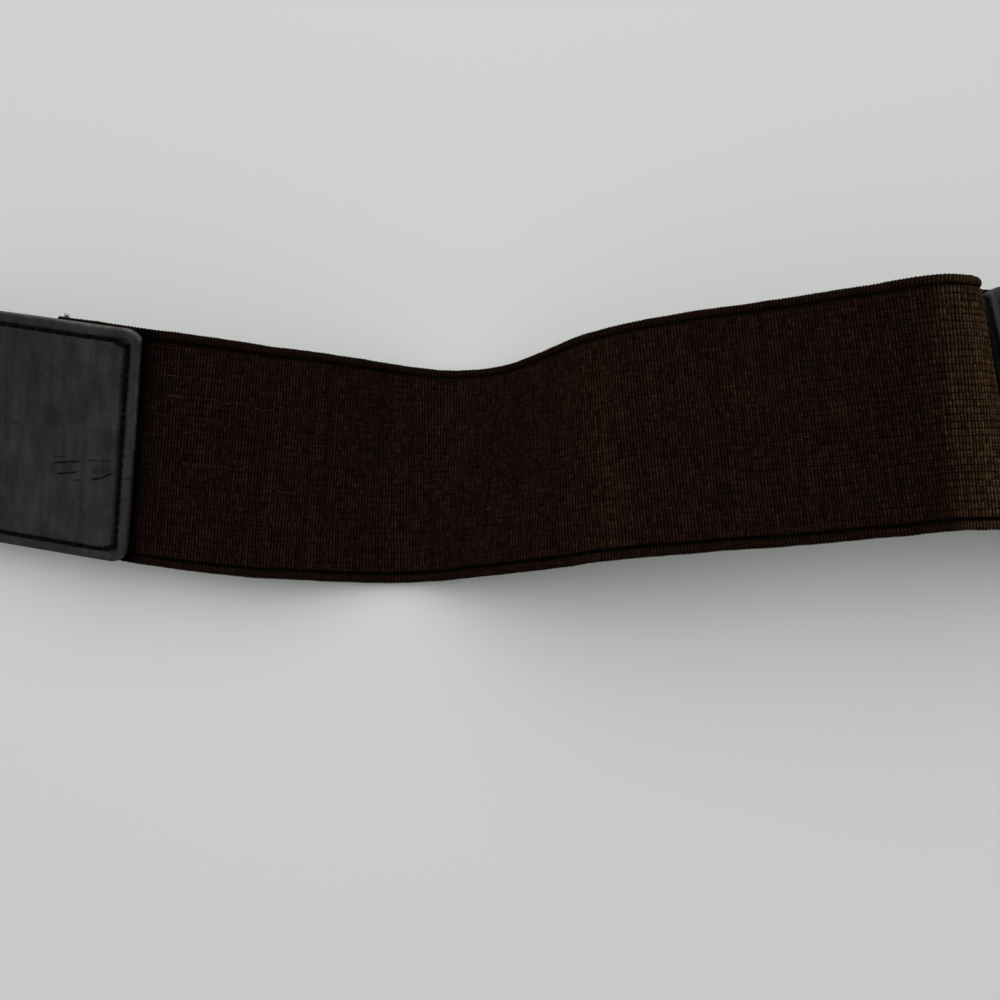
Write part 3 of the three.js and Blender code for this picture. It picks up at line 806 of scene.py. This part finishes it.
class LeatherArm:
    """One arm's closed mesh, made on the flat strip and then laid in place."""

    def __init__(self, strip, rows, half_width, seed, holes=(), creased=False, end_shade=0.0):
        self.strip, self.seed, self.creased, self.end_shade = strip, seed, creased, end_shade
        self.rows = rows
        self.half_width = half_width
        widths = half_width(rows)
        self.across = column_places(widths)
        self.along = rows[:, None] + 0 * self.across
        far = np.stack([rows, widths], axis=1)
        near = np.stack([rows, -widths], axis=1)[::-1]
        self.outline = np.vstack([far, near])
        self.stitch_holes = np.zeros((0, 2))
        self.holes = holes

    def surface(self, along, across, border):
        """Height of the upper face over the underside, and its painted shade."""
        height = LEATHER_THICKNESS - rounding(border, EDGE_ROUNDING)
        height += 0.03 * np.exp(-((border - 1.3) / 0.7) ** 2)
        at_end = np.clip(1.5 - np.abs(along - STITCH_INSET), 0, 1) * np.clip(border, 0, 1)
        channel = np.exp(-(np.abs(border - STITCH_INSET) / (0.42 + 0.26 * at_end)) ** 3) * self.sewn(along)
        height -= 0.26 * channel
        height += 0.10 * wobble(along + 0.6 * across, 37, self.seed) * np.clip(border / 6, 0, 1)
        height += 0.05 * wobble(across - 0.3 * along, 13, self.seed + 1) * np.clip(border / 6, 0, 1)
        # Painted shade in the stitch channel, beside the stitches across the end, along the near edge and, by
        # end_shade, across the first 0.6 mm of the arm's end.
        painted_shade = (0.75 - 0.3 * at_end) * channel
        painted_shade = painted_shade + 0.5 * at_end * np.exp(-((border - STITCH_INSET - 0.75) / 0.25) ** 2)
        painted_shade = painted_shade + 0.4 * np.exp(-(border / 0.35) ** 2) * (across < 0)
        painted_shade = painted_shade + self.end_shade * np.clip(1.2 - along / 0.5, 0, 1)
        for hole in self.stitch_holes:
            near = (np.abs(along - hole[0]) < 1.6) & (np.abs(across - hole[1]) < 1.6)
            if near.any():
                span = (along[near] - hole[0]) ** 2 + (across[near] - hole[1]) ** 2
                # Painted shade in and around each stitch hole.
                height[near] -= 0.30 * np.exp(-span / 0.20)
                painted_shade[near] += 0.75 * np.exp(-span / 0.26)
        return height, np.clip(painted_shade, 0, 1)

    def sewn(self, along):
        return np.ones_like(along)

    def build(self, name, node, material):
        rows, cols = self.across.shape
        at = np.stack([self.along.ravel(), self.across.ravel()], axis=1)
        border = distance_to_outline(at, self.outline)
        top_height, painted_shade = self.surface(at[:, 0], at[:, 1], border)
        low_height = rounding(border, EDGE_ROUNDING * 0.8)
        count = rows * cols
        loop = np.concatenate([
            np.arange(cols), np.arange(1, rows) * cols + cols - 1,
            (rows - 1) * cols + np.arange(cols - 2, -1, -1), np.arange(rows - 2, 0, -1) * cols])
        corner = at[loop]
        tangent = np.roll(corner, -1, axis=0) - np.roll(corner, 1, axis=0)
        outward = unit(np.stack([tangent[:, 1], -tangent[:, 0]], axis=1) + 1e-12)
        centre = at.mean(0)
        if ((corner - centre) * outward).sum() < 0:
            outward = -outward
        flat = [np.column_stack([at, top_height]), np.column_stack([at, low_height])]
        # The underside and the walls take painted shadow at the sewn end.
        border_tone = np.exp(-(np.clip(border - 0.2, 0, None) / (STITCH_INSET * 0.62)) ** 6)
        # The pale raw edge, with a painted highlight that makes it much paler along the far side.
        raw_edge_and_highlight = np.exp(-(border / 0.3) ** 2) * np.where(at[:, 1] > 0, 0.95, 0.3)
        skin = [np.stack([border_tone, painted_shade, np.where(at[:, 0] < 0.6, 0.4, 1) * raw_edge_and_highlight], axis=1),
                np.stack([0 * painted_shade, np.where(at[:, 0] < 0.5, 0.97, 0.1), 0.3 + 0 * painted_shade], axis=1)]
        walls = []
        for share in (0.66, 0.33):
            height = top_height[loop] * share + low_height[loop] * (1 - share)
            walls.append(len(np.vstack(flat)) + np.arange(len(loop)))
            flat.append(np.column_stack([corner + 0.06 * outward, height]))
            shadow = np.where(corner[:, 0] < 0.5, 0.97, 0.15)
            skin.append(np.stack([np.ones(len(loop)), shadow, 0 * height + 0.8], axis=1))
        top = grid_faces(rows, cols)
        bottom = grid_faces(rows, cols, offset=count)[:, ::-1]
        levels = [loop, *walls, loop + count]
        around = []
        for upper, lower in zip(levels, levels[1:]):
            around.append(np.stack([upper, lower, np.roll(lower, -1), np.roll(upper, -1)], axis=1))
        faces = [top, bottom, *around]
        flat, skin = np.vstack(flat), np.vstack(skin)
        for hole in self.holes:
            flat, skin, faces = self.punch(hole, flat, skin, faces, count)
        points = self.strip.place(flat[:, 0], flat[:, 1], flat[:, 2])
        flat = flat + np.array([0 if self.creased else 400, 0, 0])
        piece = add_piece(name, points, faces, material, "leather", node, flat=flat, skin=skin)
        tidy(piece)
        return piece

    def punch(self, hole, flat, skin, faces, count):
        """Cuts a round-ended hole: start, stop and across of its axis, and its radius."""
        start, stop, across, radius = hole
        reach = radius + 1.1
        rows, cols = self.across.shape
        near_rows = np.where((self.rows > start - reach) & (self.rows < stop + reach))[0]
        near_cols = np.where(np.abs(self.across[near_rows[0]] - across) < reach)[0]
        r0, r1, c0, c1 = near_rows[0], near_rows[-1], near_cols[0], near_cols[-1]
        loop = np.concatenate([
            r0 * cols + np.arange(c0, c1), np.arange(r0, r1) * cols + c1,
            r1 * cols + np.arange(c1, c0, -1), np.arange(r1, r0, -1) * cols + c0])
        inside = np.zeros((rows - 1, cols - 1), bool)
        inside[r0:r1, c0:c1] = True
        keep = ~inside.ravel()
        faces = [faces[0][keep[:len(faces[0])]], faces[1][keep[:len(faces[1])]], *faces[2:]]
        corner = flat[loop, :2]
        axis = np.column_stack([np.clip(corner[:, 0], start, stop), np.full(len(loop), across)])
        away = unit(corner - axis)
        rings = [loop]
        # The hole's rim and walls take painted shade that deepens into it.
        for step, drop, painted_shade in ((0.45, 0.0, 0.1), (0.12, 0.06, 0.3), (0, 0.3, 0.5)):
            ring = np.column_stack([axis + away * (radius + step), flat[loop, 2] - drop])
            rings.append(len(flat) + np.arange(len(loop)))
            flat = np.vstack([flat, ring])
            skin = np.vstack([skin, np.tile([0.2, painted_shade, 0.0], (len(loop), 1))])
        for step, rise in ((0, 0.3), (0.12, 0.06), (0.45, 0.0)):
            ring = np.column_stack([axis + away * (radius + step), flat[loop + count, 2] + rise])
            rings.append(len(flat) + np.arange(len(loop)))
            flat = np.vstack([flat, ring])
            skin = np.vstack([skin, np.tile([0.0, 0.5, 0.4], (len(loop), 1))])
        rings.append(loop + count)
        for outer, inner in zip(rings, rings[1:]):
            faces.append(np.stack([outer, np.roll(outer, -1), np.roll(inner, -1), inner], axis=1))
        return flat, skin, faces


def tidy(piece):
    """Joins points that fell together and turns every face outwards."""
    shell = bmesh.new()
    shell.from_mesh(piece.data)
    bmesh.ops.remove_doubles(shell, verts=shell.verts, dist=1e-6)
    bmesh.ops.recalc_face_normals(shell, faces=shell.faces)
    shell.to_mesh(piece.data)
    shell.free()


def spaced(*stops):
    """Steps between stops, each stop given with the step that leads up to it."""
    places = [0.0]
    for stop, step in stops:
        count = max(1, round((stop - places[-1]) / step))
        places.extend(np.linspace(places[-1], stop, count + 1)[1:])
    return np.array(places)


# Stitches

def resample(path, pitch):
    steps = np.linalg.norm(np.diff(path, axis=0), axis=1)
    travelled = np.concatenate([[0], np.cumsum(steps)])
    count = max(1, round(travelled[-1] / pitch))
    return columns(np.linspace(0, travelled[-1], count + 1), travelled, path)


def inset_path(outline, inset):
    """A line beside an open outline, at one distance to its left."""
    tangent = unit(np.gradient(outline, axis=0))
    return outline + np.stack([-tangent[:, 1], tangent[:, 0]], axis=1) * inset


def stitch_tubes(strip, holes, height_at, side, seed, cover=1.0):
    """A short arched tube of thread from each hole towards the next. Side is 1 above, -1 below."""
    sides, rings = 7, 9
    share = np.linspace(0, 1, rings)
    arch = np.sin(share * math.pi) ** 0.5
    source = np.random.default_rng(seed)
    points, flats = [], []
    for start, after in zip(holes[:-1], holes[1:]):
        along = unit(after - start)
        stop = start + (after - start) * cover
        sideways = np.array([-along[1], along[0]])
        slant = source.uniform(0.20, 0.36) * cover
        swerve = (share - 0.5) * 2 * slant + 0.12 * cover * np.sin(share * 2 * math.pi)
        middle = start + np.outer(share, stop - start) + np.outer(swerve, sideways)
        level = height_at(middle) + side * (arch * source.uniform(0.36, 0.50) * cover ** 0.5 - 0.28)
        radius = THREAD_DIAMETER / 2 * (0.62 + 0.38 * arch)
        angle = np.arange(sides) / sides * 2 * math.pi
        spread = radius[:, None] * np.cos(angle)[None, :]
        lift = radius[:, None] * np.sin(angle)[None, :]
        at = middle[:, None, :] + spread[..., None] * sideways
        flat = np.dstack([at[..., 0], at[..., 1], level[:, None] + lift])
        points.append(strip.place(flat[..., 0], flat[..., 1], flat[..., 2]).reshape(-1, 3))
        flats.append(np.dstack([share[:, None] * 4 + 0 * lift, spread * 3, lift * 3]).reshape(-1, 3))
    tube = grid_faces(rings, sides, closed=True)
    caps = [np.arange(sides)[None, ::-1], np.arange(sides)[None, :] + (rings - 1) * sides]
    size = rings * sides
    faces = [np.vstack([block + i * size for i in range(len(points))]) for block in (tube, *caps)]
    return np.vstack(points), faces, np.vstack(flats)


def join_tubes(parts):
    points, flats, faces, offset = [], [], [], 0
    for part_points, part_faces, part_flats in parts:
        points.append(part_points)
        flats.append(part_flats)
        faces.extend(block + offset for block in part_faces)
        offset += len(part_points)
    return np.vstack(points), faces, np.vstack(flats)


def add_stitches(name, arm, lines, below, material):
    """Stitches on the upper face along each line, and on whatever lies below it."""
    def above(at):
        border = distance_to_outline(at, arm.outline)
        saved, arm.stitch_holes = arm.stitch_holes, np.zeros((0, 2))
        height, _ = arm.surface(at[:, 0].copy(), at[:, 1].copy(), border)
        arm.stitch_holes = saved
        return height

    parts = []
    for i, (holes, cover) in enumerate(lines):
        parts.append(stitch_tubes(arm.strip, holes, above, 1, i, cover))
        parts.append(stitch_tubes(arm.strip, holes, below, -1, 50 + i, cover))
    points, faces, flats = join_tubes(parts)
    piece = add_piece(name, points, faces, material, "leather", flat=flats)
    tidy(piece)


def make_left_arm(material, thread):
    strip = left_strip()
    end = strip.distances[-1]
    fold_start, bar = strip.at_run(LEFT_FLAT_RUN - FOLD_RISE_RUN), strip.at_run(LEFT_FLAT_RUN)
    past_bar = bar + math.pi * FOLD_RADIUS
    rows = spaced((0.32, 0.11), (5.6, 0.33), (32, 0.42), (strip.at_run(LEFT_FLAT_RUN - FOLD_RETURN - 16), 0.95),
                  (fold_start, 0.8), (past_bar, 0.6), (end - 5, 1.0), (end - 0.5, 0.5), (end, 0.1))

    def half_width(distance):
        return rounded_end(distance) - (LEATHER_WIDTH / 2 - rounded_end(end - distance, 1.0))

    slot_width = PRONG_WIDTH / 2 + PRONG_CLEARANCE
    slot = (bar - SLOT_REACH, past_bar + SLOT_REACH, 0.0, slot_width)
    arm = LeatherArm(strip, rows, half_width, 11, holes=[slot], creased=True)
    last = strip.at_run(LEFT_FLAT_RUN - 20)
    arm.sewn = lambda along: np.clip((last + 1.5 - along) / 2, 0, 1)
    stop = arm.rows <= last
    widths = half_width(arm.rows[stop])
    route = np.vstack([np.stack([arm.rows[stop], widths], axis=1)[::-1],
                       np.stack([arm.rows[stop], -widths], axis=1)])
    seam = inset_path(route, STITCH_INSET)
    at_end = np.abs(seam[:, 1]) < LEATHER_WIDTH / 2 - CORNER_RADIUS - 0.5
    at_end &= seam[:, 0] < CORNER_RADIUS
    far_holes = resample(seam[~at_end & (seam[:, 1] > 0)], STITCH_PITCH)
    near_holes = resample(seam[~at_end & (seam[:, 1] < 0)], STITCH_PITCH)
    end_holes = resample(np.array([far_holes[-1], near_holes[0]]), STITCH_PITCH / 2)
    cross = strip.at_run(LEFT_FLAT_RUN - FOLD_RETURN + 6)
    half = LEATHER_WIDTH / 2 - 2 * STITCH_INSET
    cross_holes = resample(np.array([[cross, -half], [cross, half]]), STITCH_PITCH)
    arm.stitch_holes = np.vstack([far_holes, end_holes[1:-1], near_holes, cross_holes])
    arm.build("left_leather", "left_leather_arm", material)

    def below(at):
        sewn = at[:, 0] < SEWN_OVERLAP
        doubled = at[:, 0] > strip.at_run(LEFT_FLAT_RUN - FOLD_RETURN)
        depth = np.where(sewn, -SEAM_GAP - ELASTIC_THICKNESS, 0.0)
        return np.where(doubled, -LEATHER_THICKNESS, depth) + 0.3

    lines = [(far_holes, 1.0), (end_holes, 0.72), (near_holes, 1.0), (cross_holes, 1.0)]
    add_stitches("left_stitches", arm, lines, below, thread)


def make_right_arm(material, thread):
    strip = right_strip()
    end = strip.distances[-1]
    rows = spaced((0.32, 0.11), (5.6, 0.33), (16, 0.45), (end - 136, 1.0), (end - 40, 0.72), (end - 2, 0.6),
                  (end - 0.32, 0.24), (end, 0.08))

    def half_width(distance):
        return rounded_end(distance) - (LEATHER_WIDTH / 2 - tip_half_width(end - distance))

    holes = [(end - FIRST_HOLE - i * HOLE_SPACING,) * 2 + (0.0, HOLE_DIAMETER / 2) for i in range(HOLE_COUNT)]
    arm = LeatherArm(strip, rows, half_width, 23, holes=holes, end_shade=1.0)
    widths = half_width(rows)
    near = np.stack([rows, -widths], axis=1)
    far = np.stack([rows, widths], axis=1)
    route = np.vstack([far[rows > 12][::-1], far[rows <= 12][::-1], near])
    inset = inset_path(route, STITCH_INSET)
    inset = inset[(inset[:, 0] < end - STITCH_INSET)]
    closing = np.array([[end - STITCH_INSET, inset[-1][1]], [end - STITCH_INSET, inset[0][1]]])
    route_holes = resample(np.vstack([inset, closing, inset[:1]]), STITCH_PITCH)
    arm.stitch_holes = route_holes
    arm.build("right_leather", "right_leather_arm", material)

    def below(at):
        return np.where(at[:, 0] < SEWN_OVERLAP, -SEAM_GAP - ELASTIC_THICKNESS, 0.0) + 0.3

    add_stitches("right_stitches", arm, [(route_holes, 1.0)], below, thread)


# Buckle

def buckle_frame():
    """Matrix of the buckle: X from its bar outwards, Y across, Z up, drooping onto the table."""
    start, outwards, sideways = table_end()
    droop = math.asin((BAR_HEIGHT - BUCKLE_THICKNESS / 2) / (BUCKLE_LENGTH + BUCKLE_RAIL / 2))
    x = outwards * math.cos(droop) - UP * math.sin(droop)
    z = outwards * math.sin(droop) + UP * math.cos(droop)
    origin = start + outwards * LEFT_FLAT_RUN + UP * BAR_HEIGHT
    return origin, np.stack([x, np.cross(z, x), z])


def sweep(path, normals, section, closed=False):
    """A section carried along a path. The section's first number is along each point's normal,
    its second across both the path and the normal."""
    tangent = unit(np.gradient(path, axis=0))
    side = unit(np.cross(tangent, normals))
    section = np.broadcast_to(section, (len(path), *np.shape(section)[-2:]))
    points = path[:, None, :] + section[..., :1] * normals[:, None, :] + section[..., 1:] * side[:, None, :]
    rows, cols = points.shape[:2]
    faces = [grid_faces(rows, cols, closed=True)]
    if not closed:
        ring = np.arange(cols)[None, :]
        faces += [ring[:, ::-1], ring + (rows - 1) * cols]
    return points.reshape(-1, 3), faces


def rounded_section(first, second, power=3.2, count=28):
    """A rounded rectangle's outline of the two full sizes."""
    angle = np.arange(count) / count * 2 * math.pi
    c, s = np.cos(angle), np.sin(angle)
    return np.stack([first / 2 * np.sign(c) * np.abs(c) ** (2 / power),
                     second / 2 * np.sign(s) * np.abs(s) ** (2 / power)], axis=1)


def arc(centre, radius, start, stop, count=14):
    angle = np.radians(np.linspace(start, stop, count))
    return np.stack([centre[0] + radius * np.cos(angle), centre[1] + radius * np.sin(angle)], axis=1)


def make_buckle(material):
    origin, axes = buckle_frame()
    window = LEATHER_WIDTH / 2 + BUCKLE_SIDE_CLEARANCE
    middle = window + BUCKLE_RAIL / 2
    corner = BUCKLE_CORNER - BUCKLE_RAIL / 2
    straight = np.linspace(-BUCKLE_RAIL / 2, BUCKLE_LENGTH - corner, 10)
    rail = np.vstack([
        np.stack([straight, 0 * straight - middle], axis=1),
        arc((BUCKLE_LENGTH - corner, -middle + corner), corner, -90, 0)[1:],
        arc((BUCKLE_LENGTH - corner, middle - corner), corner, 0, 90),
        np.stack([straight, 0 * straight + middle], axis=1)[::-1][1:],
    ])
    rail = np.column_stack([rail, np.zeros(len(rail))])
    normals = np.tile(UP, (len(rail), 1))
    rails = sweep(rail, normals, rounded_section(BUCKLE_THICKNESS, BUCKLE_RAIL))
    bar_path = np.array([[0, y, 0] for y in np.linspace(-middle, middle, 12)], float)
    bar = sweep(bar_path, np.tile(UP, (12, 1)), rounded_section(BAR_DIAMETER, BAR_DIAMETER, 2.0, 24))
    rest = BUCKLE_THICKNESS / 2 - 0.2 + PRONG_THICKNESS / 2
    tip = BUCKLE_LENGTH + BUCKLE_RAIL / 2 + PRONG_OVERHANG + PRONG_THICKNESS / 2
    loop = arc((0, 0), BAR_DIAMETER / 2 + PRONG_THICKNESS / 4, 300, 62, 20)
    shank_x = np.linspace(BAR_DIAMETER, tip, 34)
    lift = 0.8 + (rest - 0.8) * np.clip((shank_x - BAR_DIAMETER) / (BUCKLE_LENGTH - BUCKLE_RAIL - BAR_DIAMETER), 0, 1)
    path = np.vstack([loop, np.stack([shank_x, lift], axis=1)])
    path = np.stack([path[:, 0], 0 * path[:, 0], path[:, 1]], axis=1)
    thick = np.concatenate([np.full(len(loop), PRONG_THICKNESS / 2), np.full(len(shank_x), PRONG_THICKNESS)])
    wide = np.full(len(path), float(PRONG_WIDTH))
    end = np.clip((tip - path[:, 0]) / 1.2, 0, 1)
    taper = np.where(path[:, 0] > BAR_DIAMETER, np.sqrt(1 - (1 - end) ** 2) * 0.9 + 0.1, 1)
    narrow = 1 - 0.25 * np.clip(path[:, 0] / tip, 0, 1)
    section = rounded_section(1, 1)[None] * np.stack([thick * taper, wide * taper * narrow], axis=1)[:, None, :]
    across = np.tile([0, 1.0, 0], (len(path), 1))
    prong_normals = unit(np.cross(unit(np.gradient(path, axis=0)), across)) * -1
    prong = sweep(path, prong_normals, section)
    for name, (points, faces) in (("buckle_rails", rails), ("buckle_bar", bar), ("buckle_prong", prong)):
        piece = add_piece(name, origin + points @ axes, faces, material, "steel", "buckle")
        tidy(piece)


add_camera()
add_lights()
add_floor()
make_elastic(elastic_material())
add_loose_threads(thread_material("frayed_yarn", (0.026, 0.017, 0.011), (0.070, 0.050, 0.034)))
leather = leather_material("dark_leather", (0.0158, 0.0154, 0.0167), (0.0168, 0.0161, 0.0168))
# A lighter copy of the same leather for the right arm: painted light.
painted_lit_leather = leather_material("dark_leather_painted_lit", (0.0205, 0.0207, 0.0200), (0.0215, 0.0217, 0.0208))
black_thread = thread_material("black_thread", (0.0008, 0.0007, 0.0008), (0.0022, 0.0019, 0.0020))
make_left_arm(leather, black_thread)
make_right_arm(painted_lit_leather, black_thread)
make_buckle(steel_material())
